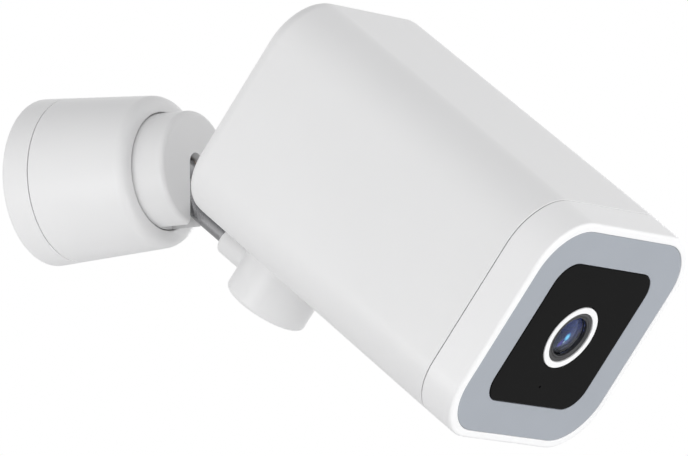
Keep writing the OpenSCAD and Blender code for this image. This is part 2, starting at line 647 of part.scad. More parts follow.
module infrared_leds() color("black") in_head()
    for (x = [-1, 1], y = [-1, 1]) translate([x * (panel_w / 2 - 6.4), y * (panel_h / 2 - 6), 0]) {
        disc(infrared_led_d, infrared_z + infrared_t, infrared_z + infrared_t + 2);
        intersection() {
            disc(infrared_led_d - 0.4, infrared_z + infrared_t + 2 - lap, -front_t - lap);
            translate([0, 0, -front_t - lap - infrared_dome_r]) sphere(r = infrared_dome_r);
        }
    }
module microphone() color("goldenrod") in_head() translate([0, -mic_drop, 0])
    block(3.8, 3, infrared_z + infrared_t, infrared_z + infrared_t + 1.1);
module microphone_boot() color("dimgray") in_head() translate([0, -mic_drop, 0])
    washer(3.2, 1, infrared_z + infrared_t + 1.1, -front_t);
module heat_sink() color("silver") in_head() difference() {
    union() {
        slab(in_w - 0.4, in_h - 0.4, in_r - 0.2, sink_z - sink_t, sink_z);
        for (i = [-3:3]) translate([i * fin_pitch, in_h / 4 + 3.4, 0])
            block(fin_t, in_h / 2 - 10, sink_z - sink_t - fin_len, sink_z - sink_t + lap);
        for (x = [-1, 1], y = [-1, 1]) translate([x * camera_screw, y * camera_screw, 0])
            disc(pillar_d, camera_board_z + board_t + fit_gap, sink_z - sink_t + lap);
    }
    difference() {
        block(camera_board_size + 1, camera_board_size + 1, sink_z - sink_t - fin_len - 4, sink_z - sink_t);
        for (x = [-1, 1], y = [-1, 1]) translate([x * camera_screw, y * camera_screw, 0])
            disc(pillar_d, camera_board_z + board_t + fit_gap, sink_z);
    }
    block(holder_w + 3, holder_w + 3, sink_z - sink_t - 1, sink_z + 1);
    for (x = [-1, 1], y = [-1, 1]) translate([x * camera_screw, y * camera_screw, 0])
        disc(screw_d, camera_board_z, camera_board_z + 6.8);
    for (x = [-1, 1], y = [-1, 1]) translate([x * boss_x, y * boss_y, 0]) {
        disc(screw_d + 4 * fit_gap, sink_z - sink_t - past, sink_z + past);
        disc(4.2, sink_z - sink_head_h, sink_z + past);
    }
}
module heat_sink_screws() color("silver") in_head()
    for (x = [-1, 1], y = [-1, 1]) translate([x * boss_x, y * boss_y, 0])

            screw(screw_d - fit_gap, sink_t - sink_head_h + sink_screw_len, 3.8, 1.2,
                boss_top - sink_screw_len);
module main_board() color("darkgreen") in_head() translate([0, main_board_y, 0]) rotate([-90, 0, 0])
    translate([0, -in_rear - board_inset - main_board_len / 2, 0])
        block(in_w - 2 * side_draft - 0.6, main_board_len, 0, board_t);
module on_main_board() in_head()
    translate([0, main_board_y + board_t, in_rear + board_inset]) children();
module main_chips() color([0.12, 0.12, 0.13]) on_main_board() {
    translate([-12, 0.7, 34]) cube([14, 1.4, 14], center = true);
    for (z = [28, 40]) translate([4, 0.5, z]) cube([8, 1, 9], center = true);
    for (z = [50, 56]) translate([-18, 0.9, z]) cube([5, 1.8, 4], center = true);
}
module radio_can() color("silver") on_main_board() translate([14, 1.3, 12]) cube([22, 2.6, 18], center = true);
module speaker() color([0.15, 0.15, 0.16]) in_head() translate([0, floor_y, speaker_z]) rotate([-90, 0, 0]) {
    washer(speaker_d, speaker_d - 4, 0.05, 2.5);
    disc(speaker_d, 2.4, 4);
    disc(speaker_d * 0.6, 3.9, speaker_h);
}
module hatch_side() in_head() translate([0, floor_y, hatch_z]) rotate([-90, 0, 0]) children();
module access_board() color("darkgreen") hatch_side() {
    translate([4, 0, 0]) block(34, 12, 4.9, 6.1);
    translate([button_x, 0, 0]) block(4.5, 4.5, 2.9, 5);
}
module card_socket() color("silver") hatch_side() difference() {
    block(card_w + 2.6, 5, 1.6, 4.9);
    block(card_w, card_t, 1, 4.4);
}
module setup_button() color("gray") hatch_side() translate([button_x, 0, 0]) {
    disc(button_d, -shell_wall - button_proud, 0.6);
    disc(button_d + 2, turn_gap, 1.2);
    disc(2.4, 1.1, 2.8 - button_travel);
}
module card_cover() color("lightgray") hatch_side() {
    block(cover_w, cover_d, -shell_wall, -shell_wall + cover_t);
    block(card_w + 0.4, card_t + 0.4, -shell_wall + cover_t - 2 * fit_gap, -2 * fit_gap);
}

mounting_plate();
wall_gasket();
cable_grommet();
base_shell();
base_lock_screws();
power_board();
power_transformer();
power_capacitors();
terminal_block();
power_board_screws();
neck_drum();
neck_retainer();
neck_retainer_screws();
neck_friction_washer();
neck_o_ring();
tilt_pin();
tilt_pin_plug();
arm_knuckle();
knuckle_washers();
arm_tube();
arm_lead();
pan_hub();
hub_cap();
hub_grub_screw();
pan_o_ring();
pan_stud();
pan_nut();
pan_friction_washer();
pan_stud_screws();
head_shell();
front_bezel();
bezel_seal();
diffuser();
light_reflector();
light_board();
flood_leds();
front_panel();
panel_frame();
lens_ring();
lens_barrel();
lens_front_glass();
lens_rear_glass();
lens_holder();
image_sensor();
camera_board();
camera_board_screws();
infrared_board();
infrared_leds();
microphone();
microphone_boot();
heat_sink();
heat_sink_screws();
main_board();
main_chips();
radio_can();
speaker();
access_board();
card_socket();
setup_button();
card_cover();
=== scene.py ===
"""A wall-mounted floodlight camera: its casings, arm, lens and finishes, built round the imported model."""

import json
import math

import bmesh
import bpy
from mathutils import Matrix, Vector


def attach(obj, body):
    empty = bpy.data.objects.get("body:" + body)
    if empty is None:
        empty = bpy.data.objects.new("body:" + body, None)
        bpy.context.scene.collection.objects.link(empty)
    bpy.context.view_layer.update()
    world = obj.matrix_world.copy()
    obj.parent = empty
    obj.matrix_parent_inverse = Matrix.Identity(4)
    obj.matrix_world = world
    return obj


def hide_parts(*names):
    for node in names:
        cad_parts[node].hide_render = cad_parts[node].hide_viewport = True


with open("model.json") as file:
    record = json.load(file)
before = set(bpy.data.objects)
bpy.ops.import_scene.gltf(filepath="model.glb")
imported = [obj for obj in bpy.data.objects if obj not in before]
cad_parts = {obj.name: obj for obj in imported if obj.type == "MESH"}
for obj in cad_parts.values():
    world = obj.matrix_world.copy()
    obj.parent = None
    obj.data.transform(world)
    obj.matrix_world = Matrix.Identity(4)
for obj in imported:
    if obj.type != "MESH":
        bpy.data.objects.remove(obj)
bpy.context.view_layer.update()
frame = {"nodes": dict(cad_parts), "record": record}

MM = 0.001  # lengths below are in millimetres until a piece is placed

# Camera: a long lens, low down and to the left of the head's front
CAMERA_AT = (-1.80838, -1.31141, -0.28451)
CAMERA_RIGHT = (0.55873, -0.82925, -0.01265)
CAMERA_UP = (-0.09291, -0.07774, 0.99264)
LENS_LENGTH = 427.55
SENSOR_WIDTH = 36.0

# Wall base, measured out from the wall
BASE_BACK_R, BASE_FRONT_R, BASE_LEN = 23.1, 20.8, 38.8
PLATE_DEPTH, PLATE_FLOOR, SEAM = 8.2, 3.0, 0.25
BASE_WALL, END_WALL, NECK_RECESS = 2.2, 5.8, 1.8
SPIGOT_LEN, SPIGOT_WALL, BORE_STEP = 3.2, 1.7, 0.6
GASKET_OUTSET, GASKET_INSET, GASKET_SEAT, GASKET_T = 2.0, 4.0, 1.0, 0.9
GROMMET_BORE_R, GROMMET_NECK_R, GROMMET_FLANGE_R, GROMMET_END = 3.0, 4.9, 7.0, 5.0
GROMMET_HOLE_R, GROMMET_SEAT_R, GROMMET_SEAT = 5.0, 7.15, 1.1
WALL_HOLE_R, WALL_HOLE_X = 2.2, 15.0
LOCK_SCREW_ANGLES = (-35.0, 35.0)
LOCK_SCREW_HOLE_R, LOCK_SCREW_DEPTH = 1.45, 6.6

# Neck drum
NECK_R, NECK_FRONT, NECK_BACK = 15.9, 48.8, 37.3
JOURNAL_R, JOURNAL_END = 12.0, 31.8
SLOT_W, SLOT_TOP, SLOT_FLOOR, LEAD_HOLE_R = 6.0, 1.3, 38.6, 2.0
PIVOT_OUT, PIN_R = 43.5, 1.5
PIN_HOLE_END, PIN_FIT, KNUCKLE_GAP, NECK_GAP = -10.1, 0.02, 0.4, 0.3
PLUG_R, PLUG_START, PLUG_LEN = 2.45, 12.8, 2.7
PLUG_DISH_R, PLUG_DISH = 0.9, 0.3

# Arm, in its own frame: the tilt pin at its origin, +Z along the tube, +Y towards the head
TILT = 38.7
KNUCKLE_R, KNUCKLE_W = 4.0, 4.8
TUBE_R, TUBE_BORE_R, TUBE_DROP = 2.1, 1.4, 6.0
LEG_ANGLE, BEND_R = 31.3, 14.0
HUB_REACH, HUB_R, HUB_TOP, HUB_BOTTOM = 46.1, 12.0, 1.0, -13.9
COLLAR_R, COLLAR_LEN, GRUB_R, TUBE_FIT, TUBE_SHORT = 4.2, 9.2, 1.3, 0.03, 9.0
STUB_R, STUB_START, STUB_END = 2.25, 3.2, 5.2
HUB_BORE_R, HUB_FLOOR, CAP_SEAT_R, CAP_R, CAP_T = 9.0, 3.0, 10.3, 10.2, 1.9
STUD_R, FIT, LOOSE = 5.0, 0.05, 0.1

# Head, in its own frame: its front face at the origin, +Z out of the lens, +Y up
HEAD_W, HEAD_H, HEAD_LEN, CORNER_R = 70.0, 68.0, 109.4, 15.4
SIDE_DRAFT, TOP_DRAFT = 1.8, 0.4
HEAD_RISE, FACE_REACH = 35.3, 131.8
SHELL_WALL, REAR_ROUND, BEZEL_DEPTH, RIM_W = 2.5, 4.5, 11.2, 2.4
LIGHT_CORNER, LEDGE_W, LEDGE_BACK, FRONT_T = 14.0, 2.1, 4.9, 3.0
SKIRT_OUT, SKIRT_IN, SKIRT_LEN = 2.6, 3.7, 1.1
PANEL_W, PANEL_H, PANEL_CORNER, PANEL_GAP = 44.6, 43.4, 6.7, 0.15
RING_R, RING_BORE_R, GLASS_R = 9.7, 7.75, 6.0
MIC_DROP, MIC_R = 15.8, 0.38
HUB_Z, SPEAKER_Z, HATCH_Z = -85.7, -55.2, -28.7
COVER_W, COVER_D, COVER_T, COVER_CORNER, COVER_GAP = 17.0, 9.6, 1.1, 1.5, 0.2
TONGUE_W, TONGUE_D, TONGUE_GAP = 12.4, 2.0, 0.3
NOTCH_R, NOTCH_IN, NOTCH_DEPTH = 1.6, 1.4, 0.45
BUTTON_X, BUTTON_R, BUTTON_PROUD, BUTTON_GAP = 14.8, 3.3, 0.3, 0.3
BUTTON_FLANGE_R, BUTTON_STEM_R = 4.3, 1.2
BUTTON_SHOULDER, BUTTON_BACK, BUTTON_END = 2.8, 3.7, 4.6
SPEAKER_HOLE_R, SPEAKER_RINGS = 0.75, ((1, 0.0), (6, 3.4), (12, 6.8))

PAST = 1.0  # how far what cuts a hole runs past the surface


# ---- Frames ----

def turned_about(axis, degrees):
    return Matrix.Rotation(math.radians(degrees), 4, axis)


def shifted(x, y, z):
    return Matrix.Translation((x, y, z))


BASE = turned_about("X", 90)
CROSSWISE = turned_about("Y", 90)  # turns +Z to +X, for what is bored or turned across the object
ARM = shifted(0, -PIVOT_OUT, 0) @ turned_about("X", 90 + TILT)
PAN = ARM @ shifted(0, 0, HUB_REACH) @ turned_about("X", -90)
HEAD = ARM @ shifted(0, HEAD_RISE, FACE_REACH)
HEAD_M = Matrix.Scale(MM, 4) @ HEAD @ Matrix.Scale(1 / MM, 4)  # the head's frame in metres
LENS_CENTRE = HEAD_M @ Vector((0, 0, 0))


# ---- Shapes ----

SAME_POINT = 1e-5  # points nearer than this are one
SHARP_ANGLE = math.radians(34)  # edges sharper than this aren't smoothed over


def eased(corners, steps=6):
    """The points of a path through (across, along, radius) corners, each one rounded by its radius."""
    path = []
    for i, (across, along, radius) in enumerate(corners):
        here = Vector((across, along))
        if radius == 0:
            path.append(here)
            continue
        before = (Vector(corners[i - 1][:2]) - here).normalized()
        after = (Vector(corners[(i + 1) % len(corners)][:2]) - here).normalized()
        half = before.angle(after) / 2
        centre = here + (before + after).normalized() * radius / math.sin(half)
        start = here + before * radius / math.tan(half) - centre
        end = here + after * radius / math.tan(half) - centre
        sweep = math.atan2(start.x * end.y - start.y * end.x, start.dot(end))
        for k in range(steps + 1):
            path.append(centre + Matrix.Rotation(sweep * k / steps, 2) @ start)
    return path


def round_the_circle(radius, steps):
    """The (x, y) points of a circle."""
    turns = (2 * math.pi * i / steps for i in range(steps))
    return [(radius * math.cos(turn), radius * math.sin(turn)) for turn in turns]


def circle(radius, height, steps=96):
    return [(x, y, height) for x, y in round_the_circle(radius, steps)]


def rounded_rect(width, height, corner, depth, steps=14):
    loop = []
    for quarter, (sx, sy) in enumerate(((1, 1), (-1, 1), (-1, -1), (1, -1))):
        for i in range(steps + 1):
            turn = math.radians(90 * (quarter + i / steps))
            loop.append((sx * (width / 2 - corner) + corner * math.cos(turn),
                         sy * (height / 2 - corner) + corner * math.sin(turn), depth))
    return loop


def skin(loops, closed=False):
    """A mesh over loops of points: closed joins the last loop to the first, else both ends are filled."""
    shape = bmesh.new()
    rings = [[shape.verts.new(point) for point in loop] for loop in loops]
    pairs = list(zip(rings, rings[1:]))
    if closed:
        pairs.append((rings[-1], rings[0]))
    for near, far in pairs:
        for i in range(len(near)):
            j = (i + 1) % len(near)
            shape.faces.new((near[i], near[j], far[j], far[i]))
    if not closed:
        shape.faces.new(rings[0])
        shape.faces.new(rings[-1])
    bmesh.ops.remove_doubles(shape, verts=shape.verts, dist=SAME_POINT)
    bmesh.ops.recalc_face_normals(shape, faces=shape.faces)
    return shape


def turned(corners, closed=True, steps=96):
    """A turned piece: a path of (radius, height, rounding) corners swept round the Z axis."""
    loops = [circle(max(radius, 0.0), height, steps) for radius, height in eased(corners)]
    return skin(loops, closed=closed)


def moulded(corners, size_at, closed=True):
    """A moulding of rounded-rectangle loops, each as wide, high and round as size_at(across, depth) says."""
    loops = [rounded_rect(*size_at(across, depth), depth) for across, depth in eased(corners)]
    return skin(loops, closed=closed)


def inset_of(width, height, corner):
    return lambda across, depth: (width - 2 * across, height - 2 * across, corner - across)


def bar_between(outer, inner):
    """Sizes across a frame's bar: measured in from the outer outline, then out from the inner one."""
    bar = (outer[0] - inner[0]) / 2

    def size_at(across, depth):
        if across < bar / 2:
            return inset_of(*outer)(across, depth)
        return inset_of(*inner)(across - bar, depth)
    return size_at


def swept(route, outer_r, inner_r, steps=48):
    """A pipe along a route of (centre, tangent) in the YZ plane: out along its skin, back along its bore."""
    loops = []
    for radius, stops in ((outer_r, route), (inner_r, reversed(route))):
        for centre, tangent in stops:
            side = Vector((0, -tangent.z, tangent.y))
            points = round_the_circle(radius, steps)
            loops.append([centre + Vector((1, 0, 0)) * x + side * y for x, y in points])
    return skin(loops, closed=True)


def moved(shape, matrix):
    shape.transform(matrix)
    return shape


def prism(outline, start, end):
    """A flat outline of (x, y) points pulled straight from one height to another."""
    return skin([[(x, y, start) for x, y in outline], [(x, y, end) for x, y in outline]])


def peg(radius, start, end, steps=48):
    return skin([circle(radius, start, steps), circle(radius, end, steps)])


def box_outline(x0, x1, y0, y1):
    return [(x0, y0), (x1, y0), (x1, y1), (x0, y1)]


def as_mesh(name, shape):
    mesh = bpy.data.meshes.new(name)
    shape.to_mesh(mesh)
    shape.free()
    return mesh


def linked(name, data):
    """A new object of the scene."""
    made = bpy.data.objects.new(name, data)
    bpy.context.scene.collection.objects.link(made)
    return made


def boolean(shape, tools, operation):
    """Cuts the tools out of a shape, or joins them to it."""
    body = linked("body", as_mesh("body", shape))
    helpers = []
    for tool in tools:
        helper = linked("tool", as_mesh("tool", tool))
        step = body.modifiers.new("step", "BOOLEAN")
        step.operation = operation
        step.solver = "EXACT"
        step.object = helper
        helpers.append(helper)
    worked = body.evaluated_get(bpy.context.evaluated_depsgraph_get())
    result = bmesh.new()
    result.from_mesh(worked.to_mesh())
    worked.to_mesh_clear()
    for used in [body, *helpers]:
        mesh = used.data
        bpy.data.objects.remove(used)
        bpy.data.meshes.remove(mesh)
    return result


def cut(shape, *tools):
    return boolean(shape, tools, "DIFFERENCE")


def join(shape, *tools):
    return boolean(shape, tools, "UNION")


def piece(name, shape, place, body, finish, stands_for=()):
    """Places a shape from its own frame, dresses it and attaches it to one body's empty."""
    shape.transform(Matrix.Scale(MM, 4) @ place)
    mesh = as_mesh(name, shape)
    made = linked(name, mesh)
    mesh.materials.append(FINISHES[finish])
    for face in mesh.polygons:
        face.use_smooth = True
    mesh.set_sharp_from_angle(angle=SHARP_ANGLE)
    shading = made.modifiers.new("shading", "WEIGHTED_NORMAL")
    shading.keep_sharp = True
    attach(made, body)
    if stands_for:
        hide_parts(*stands_for)


# ---- Finishes ----

class Signal:
    """A shader socket that adds, subtracts and multiplies like a number."""

    def __init__(self, finish, socket):
        self.finish, self.socket = finish, socket

    def _maths(self, operation, first, second):
        return self.finish.node("Math", {"operation": operation}, {0: first, 1: second})

    def __add__(self, other):
        return self._maths("ADD", self, other)

    def __sub__(self, other):
        return self._maths("SUBTRACT", self, other)

    def __rsub__(self, other):
        return self._maths("SUBTRACT", other, self)

    def __mul__(self, other):
        return self._maths("MULTIPLY", self, other)

    __radd__ = __add__
    __rmul__ = __mul__


class Finish:
    """A procedural material being wired up; node() makes any node."""

    def __init__(self, name, **constants):
        self.material = bpy.data.materials.new(name)
        self.material.use_nodes = True
        self.tree = self.material.node_tree
        self.shader = self.tree.nodes["Principled BSDF"]
        self.set(**constants)

    def node(self, kind, settings=None, inputs=None, output=0):
        made = self.tree.nodes.new("ShaderNode" + kind)
        for key, value in (settings or {}).items():
            if key == "stops":
                for stop, (position, colour) in zip(made.color_ramp.elements, value):
                    stop.position, stop.color = position, colour
            else:
                setattr(made, key, value)
        for key, value in (inputs or {}).items():
            self.feed(made.inputs[key], value)
        return Signal(self, made.outputs[output])

    def feed(self, socket, value):
        if isinstance(value, Signal):
            self.tree.links.new(value.socket, socket)
        else:
            socket.default_value = value

    def set(self, **sockets):
        for name, value in sockets.items():
            self.feed(self.shader.inputs[name.replace("_", " ")], value)

    def place(self, turn=(0, 0, 0), stretch=(1, 1, 1)):
        """Where a point is on the object, turned and stretched for grain that runs one way."""
        spot = self.node("TexCoord", output="Object")
        return self.node("Mapping", {}, {"Vector": spot, "Rotation": turn, "Scale": stretch})

    def noise(self, scale, detail=2.0, where=None):
        inputs = {"Vector": where or self.place(), "Scale": scale, "Detail": detail}
        return self.node("TexNoise", {}, inputs, "Fac")

    def mix(self, amount, first, second):
        return self.node("Mix", {"data_type": "RGBA"}, {0: amount, 6: first, 7: second}, 2)

    def bump(self, height, depth, strength=1.0):
        inputs = {"Strength": strength, "Distance": depth * MM, "Height": height}
        self.set(Normal=self.node("Bump", {}, inputs))


def shade(colour, factor):
    return (colour[0] * factor, colour[1] * factor, colour[2] * factor, 1.0)


def moulded_plastic(name, colour, roughness=0.42, grain=0.012, blotch=0.02, **constants):
    """Moulded plastic: a spark-eroded grain, and a slow drift in colour and gloss."""
    made = Finish(name, **constants)
    drift = made.noise(35.0, 3.0)
    made.set(Base_Color=made.mix(drift, shade(colour, 1 - blotch), shade(colour, 1 + blotch)),
             Roughness=roughness + (drift - 0.5) * 0.08)
    made.bump(made.noise(2600.0, 3.0), grain)
    return made.material


def rubber(name, colour):
    """Matte rubber with a fine tooth and a little bloom."""
    made = Finish(name)
    bloom = made.noise(180.0, 4.0)
    made.set(Base_Color=made.mix(bloom, shade(colour, 0.85), shade(colour, 1.2)),
             Roughness=0.7 + bloom * 0.15)
    made.bump(made.noise(3500.0, 2.0), 0.02)
    return made.material


def brushed_metal(name, colour, roughness=0.3, turn=(0, 0, 0), stretch=(1, 1, 0.03), scratch=0.006):
    """Metal with fine lines along one direction, and stains too faint to have an edge."""
    made = Finish(name, Metallic=1.0)
    lines = made.noise(2400.0, 4.0, made.place(turn, stretch))
    stain = made.noise(90.0, 2.0)
    made.set(Base_Color=made.mix(lines * 0.6 + stain * 0.4, shade(colour, 0.8), shade(colour, 1.12)),
             Roughness=roughness + (lines - 0.5) * 0.25)
    made.bump(lines, scratch)
    return made.material


def circuit_board(name, mask, copper):
    """Solder mask over copper, whose tracks show as a lighter pattern."""
    made = Finish(name, Coat_Weight=0.4, Coat_Roughness=0.15)
    cells = made.node("TexVoronoi", {"distance": "MANHATTAN"}, {"Vector": made.place(), "Scale": 420.0},
                      "Distance")
    tracks = made.node("ValToRGB", {"stops": [(0.42, (0, 0, 0, 1)), (0.5, (1, 1, 1, 1))]}, {0: cells})
    made.set(Base_Color=made.mix(tracks, shade(mask, 1.0), shade(copper, 1.0)), Roughness=0.42)
    made.bump(tracks, 0.02, 0.5)
    return made.material


def wound_tape(name, colour):
    """The transformer's yellow tape, in wraps."""
    made = Finish(name)
    wraps = made.noise(500.0, 1.0, made.place(stretch=(0.1, 4, 0.1)))
    made.set(Base_Color=made.mix(wraps, shade(colour, 0.75), shade(colour, 1.15)), Roughness=0.3)
    made.bump(wraps, 0.05)
    return made.material


def lamp_diffuser(name, colour):
    """The light's pale grey cover, faintly cloudy."""
    made = Finish(name, Coat_Weight=0.12, Coat_Roughness=0.3)
    cloud = made.noise(60.0, 2.0)
    made.set(Base_Color=made.mix(cloud, shade(colour, 0.97), shade(colour, 1.03)), Roughness=0.45)
    made.bump(made.noise(1800.0, 2.0), 0.008)
    return made.material


def coated_glass(name, tint, index):
    """Optical glass; a low index gives it the weak reflection of coated glass."""
    made = Finish(name, Transmission_Weight=1.0, IOR=index)
    dust = made.noise(5000.0, 2.0)
    made.set(Base_Color=made.mix(dust, shade(tint, 0.98), shade(tint, 1.0)), Roughness=dust * 0.02)
    return made.material


PAINTED_REFLECTION_RISE, PAINTED_REFLECTION_SLANT, PAINTED_REFLECTION_MIDDLE = 120.0, 60.0, 0.35  # the painted reflection's change per metre up and across; its middle
PAINTED_GLINT_EDGE = 1.6  # how sharply a painted glint ends


def painted_reflection_coating(name, upper, lower, painted_glints):
    """A coated inner lens with painted reflections: its colour fades from the lower tint to the upper one
    towards the top and right, and painted glints are (place, radius, colour).
    """
    made = Finish(name, Coat_Weight=0.5, Coat_Roughness=0.03, Specular_IOR_Level=0.3)
    spot = made.node("TexCoord", output="Object")
    height = made.node("SeparateXYZ", {}, {0: spot}, "Z")
    across = made.node("SeparateXYZ", {}, {0: spot}, "X")
    painted_reflection_level = (height - LENS_CENTRE.z) * PAINTED_REFLECTION_RISE + across * PAINTED_REFLECTION_SLANT + PAINTED_REFLECTION_MIDDLE
    tint = made.mix(made.node("Clamp", {}, {0: painted_reflection_level}), shade(lower, 1.0), shade(upper, 1.0))
    flat = made.node("VectorMath", {"operation": "MULTIPLY"}, {0: spot, 1: (1.0, 0.0, 1.0)})
    for (x, y), radius, colour in painted_glints:
        centre = HEAD_M @ Vector((x * MM, y * MM, 0.0))
        ends = {0: flat, 1: (centre.x, 0.0, centre.z)}
        away = made.node("VectorMath", {"operation": "DISTANCE"}, ends, "Value")
        near = made.node("Clamp", {}, {0: PAINTED_GLINT_EDGE - away * (PAINTED_GLINT_EDGE / (radius * MM))})
        tint = made.mix(near, tint, shade(colour, 1.0))
    made.set(Base_Color=tint, Roughness=0.1 + made.noise(400.0) * 0.03)
    made.bump(made.noise(900.0), 0.001)
    return made.material


# Painted reflection on the lens coating: navy towards the top and right, black towards the bottom and left.
PAINTED_REFLECTION_BLUE, BLACK_FILM = (0.018, 0.03, 0.14), (0.001, 0.001, 0.002)
# Painted glints: cyan, purple, navy and pale spots that stand in for highlights and coating reflections.
PAINTED_GLINTS = [((0.3, 0.1), 2.2, (0.0, 0.02, 0.16)), ((0.1, 0.5), 1.05, (0.25, 0.85, 1.0)),
               ((-0.9, -1.6), 0.95, (0.06, 0.03, 0.3)), ((0.0, -1.0), 0.38, (0.6, 0.75, 0.85))]
FINISHES = {
    "white_casing": moulded_plastic("white_casing", (0.8, 0.8, 0.802), 0.38,
                                    Coat_Weight=0.25, Coat_Roughness=0.28),
    "white_rim": moulded_plastic("white_rim", (0.84, 0.84, 0.843), 0.3, 0.004, 0.01),
    "grey_rubber": rubber("grey_rubber", (0.15, 0.155, 0.16)),
    "black_rubber": rubber("black_rubber", (0.012, 0.012, 0.013)),
    "steel": brushed_metal("steel", (0.6, 0.61, 0.62), 0.28, stretch=(1, 1, 1)),
    "spring_steel": brushed_metal("spring_steel", (0.45, 0.46, 0.48), 0.3, stretch=(1, 0.1, 1)),
    "bronze": brushed_metal("bronze", (0.5, 0.3, 0.12), 0.35, stretch=(1, 1, 1)),
    "satin_metal": brushed_metal("satin_metal", (0.36, 0.36, 0.37), 0.3, (math.radians(-90 - TILT), 0, 0)),
    "aluminium_sink": brushed_metal("aluminium_sink", (0.7, 0.71, 0.72), 0.45,
                                    stretch=(1, 1, 1), scratch=0.02),
    "component_metal": brushed_metal("component_metal", (0.65, 0.65, 0.62), 0.35, stretch=(0.1, 1, 1)),
    "dark_nylon": moulded_plastic("dark_nylon", (0.014, 0.014, 0.015), 0.5),
    "component_black": moulded_plastic("component_black", (0.01, 0.01, 0.011), 0.55, 0.02),
    "barrel_black": moulded_plastic("barrel_black", (0.035, 0.035, 0.037), 0.42, 0.006),
    "circuit_board": circuit_board("circuit_board", (0.01, 0.05, 0.02), (0.02, 0.11, 0.045)),
    "white_board": circuit_board("white_board", (0.7, 0.7, 0.68), (0.8, 0.8, 0.78)),
    "white_reflector": moulded_plastic("white_reflector", (0.85, 0.85, 0.84), 0.2, 0.002),
    "transformer": wound_tape("transformer", (0.55, 0.32, 0.03)),
    "terminal_green": moulded_plastic("terminal_green", (0.01, 0.12, 0.04), 0.4),
    "lead_jacket": rubber("lead_jacket", (0.02, 0.02, 0.02)),
    "diffuser_plastic": lamp_diffuser("diffuser_plastic", (0.325, 0.35, 0.388)),
    "led_yellow": moulded_plastic("led_yellow", (0.75, 0.5, 0.06), 0.35),
    "black_panel": moulded_plastic("black_panel", (0.006, 0.006, 0.006), 0.25, 0.002, 0.05,
                                   Specular_IOR_Level=0.025),
    "lens_glass": coated_glass("lens_glass", (0.8, 0.87, 1.0), 1.16),
    # lens_coating's colour holds painted reflections and painted glints.
    "lens_coating": painted_reflection_coating("lens_coating", PAINTED_REFLECTION_BLUE, BLACK_FILM, PAINTED_GLINTS),
    "sensor": coated_glass("sensor", (0.1, 0.12, 0.16), 1.4),
}


def dress_cad_nodes():
    for part in frame["record"]["subparts"]:
        node = frame["nodes"][part["node"]]
        node.data.materials.clear()
        node.data.materials.append(FINISHES[part["material_slot"]])


dress_cad_nodes()


# ---- Wall base ----

def base_radius(out):
    return BASE_BACK_R - (BASE_BACK_R - BASE_FRONT_R) * out / BASE_LEN


SPIGOT_R = base_radius(PLATE_DEPTH) - BASE_WALL - LOOSE
GASKET_IN, GASKET_OUT = BASE_BACK_R - GASKET_INSET, BASE_BACK_R - GASKET_OUTSET


def lock_screw_holes():
    for angle in LOCK_SCREW_ANGLES:
        hole = peg(LOCK_SCREW_HOLE_R, SPIGOT_R - SPIGOT_WALL - PAST, BASE_BACK_R + PAST)
        yield moved(hole, turned_about("Z", angle) @ shifted(0, 0, LOCK_SCREW_DEPTH) @ CROSSWISE)


def mounting_plate():
    plate = turned([
        (GROMMET_HOLE_R, GROMMET_SEAT, 0), (GROMMET_SEAT_R, GROMMET_SEAT, 0), (GROMMET_SEAT_R, 0, 0.2),
        (GASKET_IN, 0, 0.15), (GASKET_IN, GASKET_SEAT, 0), (GASKET_OUT, GASKET_SEAT, 0),
        (GASKET_OUT, 0, 0.15), (BASE_BACK_R, 0, 0.8), (base_radius(PLATE_DEPTH), PLATE_DEPTH, 0.22),
        (SPIGOT_R + LOOSE, PLATE_DEPTH, 0.2), (SPIGOT_R + LOOSE, PLATE_FLOOR, 0.6),
        (GROMMET_HOLE_R, PLATE_FLOOR, 0.1)], steps=128)
    wall_holes = [moved(peg(WALL_HOLE_R, -PAST, PLATE_FLOOR + PAST), shifted(side * WALL_HOLE_X, 0, 0))
                  for side in (-1, 1)]
    piece("mounting_plate_moulding", cut(plate, *wall_holes, *lock_screw_holes()), BASE, "base",
          "white_casing", ["mounting_plate"])


def base_shell():
    back, spigot_end = PLATE_DEPTH + SEAM, PLATE_DEPTH - SPIGOT_LEN
    bore_r, inner = SPIGOT_R - SPIGOT_WALL, BASE_LEN - END_WALL
    recess, recess_r = BASE_LEN - NECK_RECESS, NECK_R + NECK_GAP
    shell = turned([
        (SPIGOT_R, spigot_end, 0.3), (SPIGOT_R, back, 0), (base_radius(back), back, 0.22),
        (BASE_FRONT_R, BASE_LEN, 3.0), (recess_r, BASE_LEN, 0.35), (recess_r, recess, 0),
        (JOURNAL_R + FIT, recess, 0.2), (JOURNAL_R + FIT, inner, 0), (bore_r - BORE_STEP, inner, 0.8),
        (bore_r, PLATE_DEPTH, 0), (bore_r, spigot_end, 0.3)], steps=128)
    piece("base_shell_moulding", cut(shell, *lock_screw_holes()), BASE, "base",
          "white_casing", ["base_shell"])


def wall_seals():
    gasket_in, gasket_out = GASKET_IN + LOOSE, GASKET_OUT - LOOSE
    gasket = turned([(gasket_in, 0, 0.3), (gasket_out, 0, 0.3), (gasket_out, GASKET_T, 0),
                     (gasket_in, GASKET_T, 0)])
    piece("wall_gasket_ring", gasket, BASE, "base", "grey_rubber", ["wall_gasket"])
    outer_lip, inner_lip = 1.0, PLATE_FLOOR + LOOSE
    grommet = turned([
        (GROMMET_BORE_R, 0, 0.3), (GROMMET_FLANGE_R, 0, 0.25), (GROMMET_FLANGE_R, outer_lip, 0),
        (GROMMET_NECK_R, outer_lip, 0), (GROMMET_NECK_R, inner_lip, 0), (GROMMET_FLANGE_R, inner_lip, 0.3),
        (GROMMET_FLANGE_R, GROMMET_END, 0.6), (GROMMET_BORE_R, GROMMET_END, 0.4)])
    piece("cable_grommet_moulding", grommet, BASE, "base", "grey_rubber", ["cable_grommet"])


# ---- Neck ----

